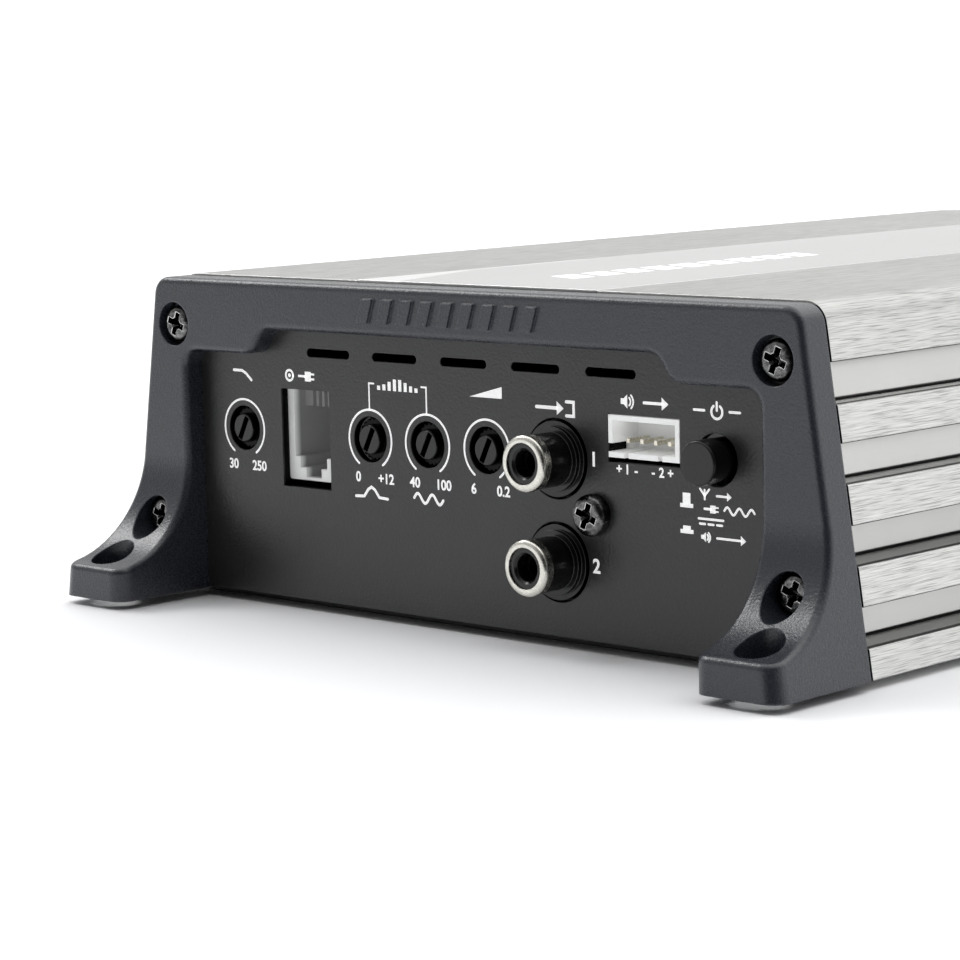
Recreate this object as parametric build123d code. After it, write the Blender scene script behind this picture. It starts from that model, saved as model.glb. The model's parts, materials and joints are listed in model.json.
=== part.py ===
from build123d import *
import os
from math import atan, cos, degrees, radians, sin

# Millimetres. X runs across the amplifier, Y along it (control panel at -Y), Z up.
# Heights in the model are taken from the casing's lower edge. The finished amplifier
# stands on its bottom cover, so save() lifts every piece by the cover's thickness.
# The origin is then the middle of the footprint, on the table.

# Casing
COVER_T = 1.2           # thickness of the bottom cover
PANEL_Y = 104.9         # outer face of both end panels
CASE_END_Y = 102.4      # ends of the extrusion
CASE_TOP = 49.95        # top face of the extrusion
CASE_HALF = 71.2        # half width of the extrusion at its lower edge
LEAN = 0.1525           # inward lean of the sides per millimetre of height
CASE_CORNER_R = 3.5     # rounding of the extrusion's long top corners
WALL_DEPTH = 9.0        # from the fins' outer faces to the inside of the side wall
ROOF_T = 4.0
ROOF_CHAMFER = 7.0      # thick inner corner that holds the upper bezel screws
GROOVES = ((36.3, 41.9, 3.6), (25.8, 31.2, 4.5), (15.0, 20.4, 6.0), (4.2, 9.65, 6.0))
GROOVE_RELIEF = 0.4     # height and depth of the fine undercut at the foot of each groove wall
GROOVE_RELIEF_DEPTH = 1.2
FIN_CHAMFER = 0.12
FLANGE_T = 3.0          # inward flanges that carry the circuit board and the cover
FLANGE_HALF = 50.0      # half width of the opening between the flanges
BADGE_HALF = 24.0       # half width of the polished strip along the top
BADGE_T = 0.35

# Bezels
BEZEL_FACE_Y = 108.4
BEZEL_TOP = 49.7
BEZEL_HALF = 71.6
BEZEL_CORNER_R = 3.0
EDGE_R = 1.0            # rounded outer edges
SHADOW_GAP = 0.9        # fine gap behind the bezel's edge, where it meets the fins
SHADOW_GAP_DEPTH = 1.3
FOOT_END_Y = 123.3
FOOT_INNER_X = 57.3     # inner face of the columns and feet
FOOT_CORNER_R = 2.6
SWEEP_R = 16.0          # concave sweep from the column down to the foot
SWEEP_Z = 21.1          # height where the sweep leaves the column
FOOT_HOLE_X = 64.8
FOOT_HOLE_Y = 118.3
FOOT_HOLE_R = 3.4
SHADE_LOW_Z = 38.3      # underside of the top bar beside the columns
SHADE_HIGH_Z = 42.3     # underside of the top bar in the middle
SHADE_IN_X = 37.7       # the step between the two runs between these
SHADE_OUT_X = 43.8
WINDOW_R = 2.5
BEZEL_SCREWS = ((59.65, 42.35, 3.45, 106.0), (63.3, 11.7, 3.2, 107.3))
MOTIF_BARS = 9          # plain slanted bars raised on the top bar
MOTIF_PITCH = 4.1
MOTIF_Z = (44.2, 47.8)
MOTIF_FOOT_W = 2.2      # width of each bar along its lower edge
MOTIF_SHIFT = 1.2       # how far each bar leans to the right
MOTIF_RISE = 0.45

# Screws
SCREW_HEAD_R = 2.9
SCREW_HEAD_H = 2.0
SCREW_SHANK_R = 1.2
SCREW_HOLE_R = 1.25
SCREW_BOSS_R = 3.4
SCREW_CLEAR_R = 1.75
SCREW_REACH = 14.0
DRIVE_W = 1.0           # cross recess: arm width, span, depth and tilt
DRIVE_SPAN = 3.7
DRIVE_DEPTH = 1.4
DRIVE_HUB_R = 1.0
DRIVE_TILT = 20.0
COVER_SCREW_X = 55.0
COVER_SCREW_YS = (-84.0, 0.0, 84.0)
BOARD_SCREW_YS = (-70.0, -14.0, 70.0)

# Panels
PANEL_T = 1.2
PANEL_FOOT_Z = 0.4
PANEL_LIP = 0.65
PANEL_RIM = 1.2
VENTS = 5
VENT_PITCH = 14.17
VENT_Z = 38.8
VENT_L = 9.3
VENT_H = 1.3

# Controls and connectors on the front panel
POT_Z = 26.3
POTS = {"lowpass": -47.6, "boost": -19.64, "frequency": -7.65, "level": 4.39}
POT_HOLE_R = 3.5
POT_TIP_R = 2.25
POT_TIP_PROUD = 0.3
POT_SHAFT_R = 3.15      # knurled collar, set back behind the tip
POT_SHAFT_BACK = 0.9
POT_KNURLS = 22
POT_KNURL_R = 0.25
POT_SLOT = 1.0
POT_SLOT_L = 3.9
POT_SLOT_DEPTH = 1.3
POT_SLOT_TILT = 27.0
POT_BUSH_R = 1.8
POT_FACE = PANEL_Y - 5.0
JACK_X = (-39.0, -28.4)  # panel opening
JACK_Z = (17.8, 33.0)
JACK_FRONT = 1.65       # how far the socket sits behind the panel's face
JACK_BODY_X = (-39.3, -28.5)
JACK_BODY_Z = (18.75, 34.6)
JACK_MID = -33.9
JACK_HALF = 4.0         # half width of the mouth
JACK_FLOOR_Z = 22.35
JACK_CEILING_Z = 30.05
JACK_STEPS = ((2.95, 20.65), (1.67, 19.2))  # latch notch: half width and floor of each step
JACK_COMB_BACK = 2.4    # comb set back from the mouth
JACK_COMB_Z = 33.4
JACK_WAYS = 4
JACK_PITCH = 1.27
JACK_SLOT = 0.75
JACK_WIRE = 0.44
RCA_X = 18.0
RCA_ROWS = (26.07, 11.2)
RCA_HOLE_R = 5.85
RCA_BARREL = ((5.45, 0.35), (4.7, 1.1), (3.9, 5.6))  # radius and reach of each step
RCA_BORE_R = 3.0
RCA_RING_R = 4.1
RCA_RING_Y = (5.6, 7.3)
RCA_SLEEVE_R = 1.9
RCA_SLEEVE_BORE_R = 1.62
RCA_SCREW = (25.0, 18.6)
HEADER_X = (27.7, 40.75)
HEADER_Z = (26.3, 33.1)
HEADER_DEPTH = 5.4
HEADER_WALL = 0.9
HEADER_FLOOR_Z = 27.8
HEADER_SLOTS = (31.1, 37.15)  # key slots in the lower wall
HEADER_SLOT_W = 0.7
HEADER_NOTCH_DEPTH = 3.8      # notch through the left wall
HEADER_PITCH = 2.5
HEADER_PIN_Z = 29.35
HEADER_PIN = 0.64
BUTTON = (47.1, 27.9)
BUTTON_HOLE_R = 3.7
BUTTON_R = 3.1
BUTTON_PROUD = 4.2
BUTTON_TRAVEL = 2.5
PLUNGER_R = 1.5
SWITCH_HALF = 4.2
SWITCH_FACE = PANEL_Y - 7.2
RUN_CLEARANCE = 0.05    # radial clearance where one piece turns or slides in another
FIT_GAP = 0.05

# Boards
CONTROL_BOARD_Y = 90.9  # front face of the upright control board
BOARD_T = 1.6
MAIN_BOARD_Z = 3.6
MAIN_BOARD_HALF = 59.8
MAIN_BOARD_END_Y = 88.4
MAIN_TOP = MAIN_BOARD_Z + BOARD_T
TRANSFORMER = (-18.0, 32.0)
TRANSFORMER_R = (8.0, 16.0)
TRANSFORMER_Z = (9.0, 23.0)
TRANSFORMER_TURNS = 20
CHOKE = (24.0, 58.0)
CHOKE_R = (7.0, 13.0)
CHOKE_Z = (9.0, 20.0)
CHOKE_TURNS = 16
WIRE_R = 0.8
CAPACITORS = ((-30.0, -4.0), (-10.0, -4.0), (10.0, -4.0), (30.0, -4.0), (24.0, 22.0))
CAPACITOR_R = 8.0
CAPACITOR_H = 32.0
TRANSISTOR_YS = [-60.0 + i * 15.0 for i in range(9)]
TAB_T = 1.3

# Rear end
TERMINAL_Z = (7.5, 31.5)
POWER_CELLS = (-45.5, -34.5, -23.5)
POWER_MARGIN = 6.2      # from the outer screws' centres to the ends of the block
SPEAKER_CELLS = (20.0, 29.0, 38.0, 47.0)
SPEAKER_MARGIN = 5.2
TERMINAL_SCREW_Z = 18.0
POWER_SCREW_R = 3.6
SPEAKER_SCREW_R = 3.0
FUSE_X = (-9.5, 4.5)
LED = (-2.5, 34.2)


def side_x(z, half=CASE_HALF):
    """Half width of the casing at height z."""
    return half - LEAN * z


def block(x0, x1, y0, y1, z0, z1):
    """Box between the given limits."""
    return Pos((x0 + x1) / 2, (y0 + y1) / 2, (z0 + z1) / 2) * Box(x1 - x0, y1 - y0, z1 - z0)


def rod(x, z, r, y0, y1):
    """Round bar along Y."""
    return Pos(x, (y0 + y1) / 2, z) * Rot(90, 0, 0) * Cylinder(r, y1 - y0)


def post(x, y, r, z0, z1):
    """Round bar along Z."""
    return Pos(x, y, (z0 + z1) / 2) * Cylinder(r, z1 - z0)


def prism(outline, y0, y1):
    """Outline drawn in X and Z, carried along Y."""
    return extrude(Plane.XZ.offset(-y1) * outline, amount=y1 - y0)


def polygon(*points):
    return make_face(Polyline(*points, close=True))


def group(pieces):
    """Separate solids kept together in one piece group."""
    return Compound(children=list(pieces))


def both_sides(shape):
    return shape + mirror(shape, Plane.YZ)


def to_rear(shape):
    """The same piece at the other end of the amplifier."""
    return Rot(0, 0, 180) * shape


def save(name, shape):
    export_step(Pos(0, 0, COVER_T) * shape, "parts/" + name + ".step")


# ---------------------------------------------------------------- casing

def casing_outline(half, top, corner):
    h_top = side_x(top, half)
    face = polygon((-half, 0), (half, 0), (h_top, top), (-h_top, top))
    return fillet(face.vertices().group_by(Axis.Y)[-1], corner)


def groove_outline(low, high, depth):
    """One groove between two fins, with chamfered mouth and a small relief at the foot."""
    inner = side_x(low) - depth
    inner_high = side_x(high) - depth
    outer = side_x(low)
    outer_high = side_x(high)
    c = FIN_CHAMFER
    r = GROOVE_RELIEF
    undercut = inner - GROOVE_RELIEF_DEPTH
    return polygon(
        (undercut, low), (outer - c, low), (outer + c, low - 2 * c), (outer + 3, low - 2 * c),
        (outer_high + 3, high + 2 * c), (outer_high + c, high + 2 * c), (outer_high - c, high),
        (inner_high, high), (inner, low + r), (undercut, low + r))


def cavity_outline():
    """Inside of the casing: open below between the flanges."""
    roof = CASE_TOP - ROOF_T
    low = side_x(FLANGE_T) - WALL_DEPTH
    high = side_x(roof - ROOF_CHAMFER) - WALL_DEPTH
    corner = side_x(roof) - WALL_DEPTH - ROOF_CHAMFER
    hall = polygon((-low, FLANGE_T), (low, FLANGE_T), (high, roof - ROOF_CHAMFER), (corner, roof),
                   (-corner, roof), (-high, roof - ROOF_CHAMFER))
    opening = polygon((-FLANGE_HALF, -1), (FLANGE_HALF, -1), (FLANGE_HALF, FLANGE_T + 1),
                      (-FLANGE_HALF, FLANGE_T + 1))
    return hall + opening


def heatsink_extrusion():
    outline = casing_outline(CASE_HALF, CASE_TOP, CASE_CORNER_R) - cavity_outline()
    for x, z, _, _ in BEZEL_SCREWS:
        outline += both_sides(Pos(x, z) * Circle(SCREW_BOSS_R))
        outline -= both_sides(Pos(x, z) * Circle(SCREW_HOLE_R))
    for low, high, depth in GROOVES:
        outline -= both_sides(groove_outline(low, high, depth))
    body = prism(outline, -CASE_END_Y, CASE_END_Y)
    body -= block(-BADGE_HALF, BADGE_HALF, -CASE_END_Y - 1, CASE_END_Y + 1, CASE_TOP - BADGE_T, CASE_TOP + 1)
    for x, y in cover_screw_points() + board_screw_points():
        body -= post(x, y, SCREW_HOLE_R, -1, FLANGE_T + 1)
    return body


def top_badge_strip():
    return block(-BADGE_HALF + FIT_GAP, BADGE_HALF - FIT_GAP, -CASE_END_Y, CASE_END_Y,
                 CASE_TOP - BADGE_T, CASE_TOP + 0.1)


def cover_screw_points():
    return [(sx * COVER_SCREW_X, y) for sx in (-1, 1) for y in COVER_SCREW_YS]


def board_screw_points():
    return [(sx * COVER_SCREW_X, y) for sx in (-1, 1) for y in BOARD_SCREW_YS]


def bottom_cover():
    plate = block(-64.0, 64.0, -CASE_END_Y + 1.5, CASE_END_Y - 1.5, -COVER_T, 0)
    plate = fillet(plate.edges().filter_by(Axis.Z), 3.0)
    for x, y in cover_screw_points():
        plate -= post(x, y, SCREW_CLEAR_R, -COVER_T - 1, 1)
        plate -= Pos(x, y, -COVER_T / 2) * Cone(SCREW_HEAD_R + 0.05, SCREW_CLEAR_R, COVER_T)
    return plate


def bottom_cover_screws():
    screws = []
    for x, y in cover_screw_points():
        head = Pos(x, y, -COVER_T / 2) * Cone(SCREW_HEAD_R, SCREW_SHANK_R, COVER_T)
        shank = post(x, y, SCREW_SHANK_R, -COVER_T / 2, FLANGE_T)
        drive = post(x, y, 1.0, -COVER_T - 1, -COVER_T + 0.7)
        screws.append(head + shank - drive)
    return group(screws)


# ---------------------------------------------------------------- bezels and panels

def window_outline():
    """Recess inside the bezel: columns at the sides, stepped shade along the top."""
    mid = ((SHADE_IN_X + SHADE_OUT_X) / 2, (SHADE_LOW_Z + SHADE_HIGH_Z) / 2)
    inner = (SHADE_IN_X, SHADE_HIGH_Z)
    outer = (SHADE_OUT_X, SHADE_LOW_Z)
    corner = (FOOT_INNER_X - WINDOW_R, SHADE_LOW_Z)
    column = (FOOT_INNER_X, SHADE_LOW_Z - WINDOW_R)
    edge = (Line((0, -1), (0, SHADE_HIGH_Z)) + Line((0, SHADE_HIGH_Z), inner)
            + TangentArc(inner, mid, tangent=(1, 0))
            + TangentArc(outer, mid, tangent=(-1, 0))
            + Line(outer, corner) + TangentArc(corner, column, tangent=(1, 0))
            + Line(column, (FOOT_INNER_X, -1)) + Line((FOOT_INNER_X, -1), (0, -1)))
    return both_sides(make_face(edge))


def foot_side_profile():
    """Column and foot seen from the side, with the concave sweep between them."""
    sweep_y = -BEZEL_FACE_Y - SWEEP_R
    toe_z = SWEEP_Z - (SWEEP_R ** 2 - (sweep_y + FOOT_END_Y) ** 2) ** 0.5
    middle = (sweep_y + SWEEP_R * cos(radians(45)), SWEEP_Z - SWEEP_R * sin(radians(45)))
    edge = (Line((-CASE_END_Y, 0), (-FOOT_END_Y, 0)) + Line((-FOOT_END_Y, 0), (-FOOT_END_Y, toe_z))
            + ThreePointArc((-FOOT_END_Y, toe_z), middle, (-BEZEL_FACE_Y, SWEEP_Z))
            + Line((-BEZEL_FACE_Y, SWEEP_Z), (-CASE_END_Y, SWEEP_Z))
            + Line((-CASE_END_Y, SWEEP_Z), (-CASE_END_Y, 0)))
    return make_face(edge)


def motif():
    """Row of plain slanted bars raised on the top bar."""
    low, high = MOTIF_Z
    bars = []
    for i in range(MOTIF_BARS):
        x = (i - (MOTIF_BARS - 1) / 2) * MOTIF_PITCH
        left = x - (MOTIF_FOOT_W + MOTIF_SHIFT) / 2
        outline = polygon((left, low), (left + MOTIF_FOOT_W, low),
                          (left + MOTIF_FOOT_W + MOTIF_SHIFT, high), (left + MOTIF_SHIFT, high))
        bars.append(prism(outline, -BEZEL_FACE_Y - MOTIF_RISE, -BEZEL_FACE_Y + 0.5))
    return bars


def bezel():
    envelope = casing_outline(BEZEL_HALF, BEZEL_TOP, BEZEL_CORNER_R)
    foot = extrude(Plane.YZ.offset(FOOT_INNER_X) * foot_side_profile(), amount=20)
    feet = both_sides(foot) & prism(envelope, -FOOT_END_Y - 1, -CASE_END_Y)
    body = prism(envelope, -BEZEL_FACE_Y, -CASE_END_Y) + feet
    body -= prism(window_outline(), -FOOT_END_Y - 1, -CASE_END_Y + 1)
    toes = body.edges().filter_by(lambda e: abs(e.center().Y + FOOT_END_Y) < 0.01 and e.length < 6
                                  and abs(e.center().Z - 2.6) < 0.6)
    body = fillet(toes, FOOT_CORNER_R)
    body = fillet(body.edges().filter_by(outer_edge), EDGE_R)
    body -= prism(offset(window_outline(), PANEL_LIP + FIT_GAP), -PANEL_Y, -CASE_END_Y + 1)
    core = casing_outline(BEZEL_HALF - SHADOW_GAP_DEPTH, BEZEL_TOP - SHADOW_GAP_DEPTH, BEZEL_CORNER_R)
    body -= prism(envelope - core, -CASE_END_Y - SHADOW_GAP, -CASE_END_Y + 1)
    for x, z, seat_r, seat_y in BEZEL_SCREWS:
        for sx in (-1, 1):
            body -= rod(sx * x, z, seat_r, -FOOT_END_Y - 1, -seat_y)
            body -= rod(sx * x, z, SCREW_CLEAR_R, -FOOT_END_Y, -CASE_END_Y + 1)
    for sx in (-1, 1):
        body -= post(sx * FOOT_HOLE_X, -FOOT_HOLE_Y, FOOT_HOLE_R, -1, 30)
    for bar in motif():
        body += bar
    return body


def outer_edge(edge):
    """Edges round the front of the bezel. The rounding runs on round the toes and the recess."""
    c = edge.center()
    on_side = abs(abs(c.X) - side_x(c.Z, BEZEL_HALF)) < 0.9
    on_top = c.Z > BEZEL_TOP - 3.2
    return (on_side or on_top) and c.Y < -CASE_END_Y - 3 and c.Z > 3


def panel(cutouts):
    """Formed sheet panel: plate with a folded rim that rests on the end of the extrusion."""
    outline = offset(window_outline(), PANEL_LIP)
    outline -= Pos(0, PANEL_FOOT_Z - 10) * Rectangle(200, 20)
    inner = offset(window_outline(), PANEL_LIP - PANEL_RIM)
    plate = prism(outline, -PANEL_Y, -CASE_END_Y)
    plate -= prism(inner, -PANEL_Y + PANEL_T, -CASE_END_Y + 1)
    for i in range(VENTS):
        x = (i - (VENTS - 1) / 2) * VENT_PITCH
        plate -= prism(Pos(x, VENT_Z) * SlotOverall(VENT_L, VENT_H), -PANEL_Y - 1, -CASE_END_Y + 1)
    for cut in cutouts:
        plate -= cut
    return plate


def through(x, z, r):
    return rod(x, z, r, -PANEL_Y - 1, -PANEL_Y + PANEL_T + 1)


def front_panel():
    cuts = [through(x, POT_Z, POT_HOLE_R) for x in POTS.values()]
    cuts += [through(RCA_X, z, RCA_HOLE_R) for z in RCA_ROWS]
    cuts.append(through(*RCA_SCREW, SCREW_CLEAR_R))
    cuts.append(through(*BUTTON, BUTTON_HOLE_R))
    for (x0, x1), (z0, z1) in ((JACK_X, JACK_Z), (HEADER_X, HEADER_Z)):
        cuts.append(block(x0, x1, -PANEL_Y - 1, -PANEL_Y + PANEL_T + 1, z0, z1))
    return panel(cuts)


def screw(x, z, seat_y, reach, head_r=SCREW_HEAD_R):
    """Pan-head screw with a cross recess, head towards the viewer of the front panel."""
    top = seat_y + SCREW_HEAD_H
    head = rod(x, z, head_r, -top, -seat_y)
    head = fillet(head.edges().sort_by(Axis.Y)[0], SCREW_HEAD_H * 0.55)
    body = head + rod(x, z, SCREW_SHANK_R, -seat_y, -seat_y + reach)
    return body - Pos(x, -top, z) * Rot(0, DRIVE_TILT, 0) * cross_recess(head_r / SCREW_HEAD_R)


def cross_recess(scale):
    """Cutter for the driver: four arms that taper inwards, and a pointed hub."""
    arm = extrude(Plane.XZ * Rectangle(DRIVE_SPAN * scale, DRIVE_W), amount=-DRIVE_DEPTH, taper=12)
    arm += Pos(0, -0.5, 0) * Box(DRIVE_SPAN * scale, 1.0, DRIVE_W)
    hub = Pos(0, DRIVE_DEPTH / 2, 0) * Rot(90, 0, 0) * Cone(DRIVE_HUB_R / 3, DRIVE_HUB_R * scale, DRIVE_DEPTH)
    return arm + Rot(0, 90, 0) * arm + hub


def bezel_screws():
    return group([screw(sx * x, z, seat_y, SCREW_REACH)
                  for x, z, _, seat_y in BEZEL_SCREWS for sx in (-1, 1)])


# ---------------------------------------------------------------- front connectors

def rca_housing():
    """Moulding behind the panel with two stepped barrels that pass through it."""
    back = -PANEL_Y + PANEL_T
    low = RCA_ROWS[1] - 6.0
    high = RCA_ROWS[0] + 6.4
    body = block(RCA_X - 7.5, RCA_SCREW[0] + 2.6, back, -CONTROL_BOARD_Y, low, high)
    for z in RCA_ROWS:
        for r, proud in RCA_BARREL:
            body += rod(RCA_X, z, r, -PANEL_Y - proud, back + 1)
        body -= rod(RCA_X, z, RCA_BORE_R, -PANEL_Y - RCA_RING_Y[1], back + 6)
    body -= rod(*RCA_SCREW, SCREW_HOLE_R, back - 1, back + 10)
    return body


def rca_shells():
    """Plated ring on the tip of each barrel."""
    near, far = RCA_RING_Y
    rings = []
    for z in RCA_ROWS:
        ring = rod(RCA_X, z, RCA_RING_R, -PANEL_Y - far, -PANEL_Y - near)
        ring = fillet(ring.edges().filter_by(GeomType.CIRCLE).sort_by(Axis.Y)[0], 0.7)
        rings.append(ring - rod(RCA_X, z, RCA_BORE_R, -PANEL_Y - far - 1, -PANEL_Y))
    return group(rings)


def rca_insulators():
    """Black liner inside each barrel, with a chamfered mouth."""
    front = -PANEL_Y - RCA_RING_Y[1] + 0.3
    tubes = []
    for z in RCA_ROWS:
        tube = rod(RCA_X, z, RCA_BORE_R - FIT_GAP, front, -PANEL_Y + PANEL_T + 5.9)
        tube -= rod(RCA_X, z, RCA_SLEEVE_R + FIT_GAP, front - 1, -PANEL_Y + PANEL_T + 4)
        mouth = tube.edges().filter_by(GeomType.CIRCLE).group_by(Axis.Y)[0].sort_by(SortBy.LENGTH)[0]
        tubes.append(chamfer(mouth, 0.35))
    return group(tubes)


def rca_contacts():
    """Sprung centre sleeves that grip the plug's pin."""
    sleeves = []
    for z in RCA_ROWS:
        sleeve = rod(RCA_X, z, RCA_SLEEVE_R, -PANEL_Y - 4.5, -PANEL_Y + PANEL_T + 3.9)
        sleeve -= rod(RCA_X, z, RCA_SLEEVE_BORE_R, -PANEL_Y - 5, -PANEL_Y + PANEL_T + 3)
        sleeves.append(sleeve)
    return group(sleeves)


def rca_screw():
    return screw(*RCA_SCREW, PANEL_Y, 9.0, 3.0)


def remote_jack_housing():
    """Four-way modular socket with the stepped latch notch underneath."""
    front = -PANEL_Y + JACK_FRONT
    body = block(*JACK_BODY_X, front, -CONTROL_BOARD_Y, *JACK_BODY_Z)
    body = fillet(body.edges().filter_by(Axis.Y).group_by(Axis.Z)[0], 0.5)
    back = -CONTROL_BOARD_Y - 2
    body -= jack_slot(0, JACK_HALF, front - 1, back, JACK_FLOOR_Z, JACK_CEILING_Z)
    body -= jack_slot(0, JACK_HALF, front - 1, front + JACK_COMB_BACK, JACK_FLOOR_Z, JACK_COMB_Z)
    for half, floor in JACK_STEPS:
        body -= jack_slot(0, half, front - 1, back, floor, JACK_FLOOR_Z + 1)
    for x in jack_wire_xs():
        body -= jack_slot(x, JACK_SLOT / 2, front - 1, back, JACK_CEILING_Z - 1, JACK_COMB_Z)
    return body


def jack_slot(x, half, y0, y1, z0, z1):
    """Cavity in the socket, centred x from its middle."""
    return block(JACK_MID + x - half, JACK_MID + x + half, y0, y1, z0, z1)


def jack_wire_xs():
    return [(i - (JACK_WAYS - 1) / 2) * JACK_PITCH for i in range(JACK_WAYS)]


def remote_jack_contacts():
    """Sprung wires lying in the comb above the plug."""
    start = -PANEL_Y + JACK_FRONT + JACK_COMB_BACK + 0.8
    return group([jack_slot(x, JACK_WIRE / 2, start, -CONTROL_BOARD_Y - 2, 31.6, 31.6 + JACK_WIRE)
                  for x in jack_wire_xs()])


def hi_input_header():
    """Four-way shrouded header, flush with the panel, key slots in its lower wall."""
    x0, x1 = HEADER_X
    z0, z1 = HEADER_Z
    front = -PANEL_Y - 1
    body = block(x0 + 0.1, x1 - 0.1, -PANEL_Y, -CONTROL_BOARD_Y, z0 + 0.7, z1 - 0.1)
    body -= block(x0 + HEADER_WALL, x1 - HEADER_WALL, front, -PANEL_Y + HEADER_DEPTH,
                  HEADER_FLOOR_Z, z1 - HEADER_WALL)
    for x in HEADER_SLOTS:
        body -= block(x - HEADER_SLOT_W / 2, x + HEADER_SLOT_W / 2, front, -PANEL_Y + HEADER_DEPTH,
                      z0, HEADER_FLOOR_Z + 0.5)
    body -= block(x0, x0 + 1.2, front, -PANEL_Y + HEADER_NOTCH_DEPTH, HEADER_FLOOR_Z, HEADER_FLOOR_Z + 1.2)
    for x in header_pin_xs():
        body -= header_pin(x, -PANEL_Y, -CONTROL_BOARD_Y + 1)
    return body


def header_pin_xs():
    centre = sum(HEADER_X) / 2
    return [centre + (i - 1.5) * HEADER_PITCH for i in range(4)]


def header_pin(x, y0, y1):
    half = HEADER_PIN / 2
    return block(x - half, x + half, y0, y1, HEADER_PIN_Z - half, HEADER_PIN_Z + half)


def hi_input_pins():
    return group([header_pin(x, -PANEL_Y + 1.1, -CONTROL_BOARD_Y) for x in header_pin_xs()])


def switch_body():
    x, z = BUTTON
    body = block(x - SWITCH_HALF, x + SWITCH_HALF, -SWITCH_FACE, -CONTROL_BOARD_Y,
                 z - SWITCH_HALF, z + SWITCH_HALF)
    return body - rod(x, z, PLUNGER_R + RUN_CLEARANCE, -SWITCH_FACE - 1, -CONTROL_BOARD_Y - 0.8)


def turn_on_button():
    """Push button cap on its plunger."""
    x, z = BUTTON
    cap = rod(x, z, BUTTON_R, -PANEL_Y - BUTTON_PROUD, -SWITCH_FACE - BUTTON_TRAVEL - 0.2)
    cap = fillet(cap.edges().sort_by(Axis.Y)[0], 0.35)
    return cap + rod(x, z, PLUNGER_R, -SWITCH_FACE - BUTTON_TRAVEL - 0.3, -CONTROL_BOARD_Y - 3.6)


def pot_body(x):
    body = block(x - 5.0, x + 5.0, -POT_FACE, -CONTROL_BOARD_Y, POT_Z - 5.6, POT_Z + 5.0)
    return body - rod(x, POT_Z, POT_BUSH_R + RUN_CLEARANCE, -POT_FACE - 1, -CONTROL_BOARD_Y - 1.5)


def pot_rotor(x):
    """Round tip with a screwdriver slot, knurled collar behind it, shaft into the body."""
    tip = -PANEL_Y - POT_TIP_PROUD
    collar = -PANEL_Y + POT_SHAFT_BACK
    shaft = rod(x, POT_Z, POT_SHAFT_R, collar, -POT_FACE - 0.3)
    for i in range(POT_KNURLS):
        a = radians(i * 360 / POT_KNURLS)
        shaft -= rod(x + POT_SHAFT_R * sin(a), POT_Z + POT_SHAFT_R * cos(a), POT_KNURL_R,
                     collar - 1, -POT_FACE)
    shaft += chamfer(rod(x, POT_Z, POT_TIP_R, tip, collar + 0.2).edges().sort_by(Axis.Y)[0], 0.2)
    shaft += rod(x, POT_Z, POT_BUSH_R, -POT_FACE - 0.5, -CONTROL_BOARD_Y - 1.7)
    slot = Pos(0, tip + POT_SLOT_DEPTH / 2 - 0.5, 0) * Box(POT_SLOT, POT_SLOT_DEPTH + 1, POT_SLOT_L)
    return shaft - Pos(x, 0, POT_Z) * Rot(0, POT_SLOT_TILT, 0) * slot


# ---------------------------------------------------------------- boards and inside

def control_board():
    return block(-54.0, 54.0, -CONTROL_BOARD_Y, -CONTROL_BOARD_Y + BOARD_T, MAIN_TOP + 0.3, 36.0)


def board_link():
    """Right-angle pin strip that joins the two boards."""
    return block(-50.0, -36.0, -CONTROL_BOARD_Y + BOARD_T, -CONTROL_BOARD_Y + BOARD_T + 2.5,
                 MAIN_TOP, MAIN_TOP + 5.0)


def main_board():
    board = block(-MAIN_BOARD_HALF, MAIN_BOARD_HALF, -MAIN_BOARD_END_Y, MAIN_BOARD_END_Y,
                  MAIN_BOARD_Z, MAIN_TOP)
    for x, y in board_screw_points():
        board -= post(x, y, SCREW_CLEAR_R, MAIN_BOARD_Z - 1, MAIN_TOP + 1)
    return board


def insulating_sheet():
    sheet = block(-MAIN_BOARD_HALF, MAIN_BOARD_HALF, -MAIN_BOARD_END_Y, MAIN_BOARD_END_Y,
                  FLANGE_T, MAIN_BOARD_Z)
    for x, y in board_screw_points() + cover_screw_points():
        sheet -= post(x, y, SCREW_CLEAR_R, 0, MAIN_TOP)
    return sheet


def board_screws():
    return group([post(x, y, 2.7, MAIN_TOP, MAIN_TOP + 1.6) + post(x, y, SCREW_SHANK_R, 0.2, MAIN_TOP)
                  for x, y in board_screw_points()])


def ring_core(place, radii, z_range):
    return post(*place, radii[1], *z_range) - post(*place, radii[0], 0, 40)


def loop_of_wire(radii, z_range):
    """One turn round a ring core, lying in the X-Z plane at +X."""
    w = WIRE_R
    near, far = radii
    z0, z1 = z_range
    outer = block(near - 2 * w, far + 2 * w, -w, w, z0 - 2 * w, z1 + 2 * w)
    return outer - block(near - FIT_GAP, far + FIT_GAP, -2 * w, 2 * w, z0 - FIT_GAP, z1 + FIT_GAP)


def winding(place, radii, z_range, turns):
    turn = loop_of_wire(radii, z_range)
    return group([Pos(*place, 0) * Rot(0, 0, i * 360 / turns) * turn for i in range(turns)])


def capacitors():
    """Upright cans with a scored cross in the top."""
    cans = []
    for x, y in CAPACITORS:
        can = post(x, y, CAPACITOR_R, MAIN_TOP, MAIN_TOP + CAPACITOR_H)
        can = fillet(can.edges().filter_by(GeomType.CIRCLE), 0.8)
        for turn in (0, 90):
            can -= Pos(x, y, MAIN_TOP + CAPACITOR_H) * Rot(0, 0, turn) * Box(9, 0.5, 0.6)
        cans.append(can)
    return group(cans)


def against_wall(shape):
    """Turns a piece drawn upright at X = 0 to lie on the leaning inner side wall."""
    z = 14.0
    x = side_x(z) - WALL_DEPTH - 0.35
    return Pos(x, 0, z) * Rot(0, -degrees(atan(LEAN)), 0) * shape


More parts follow.
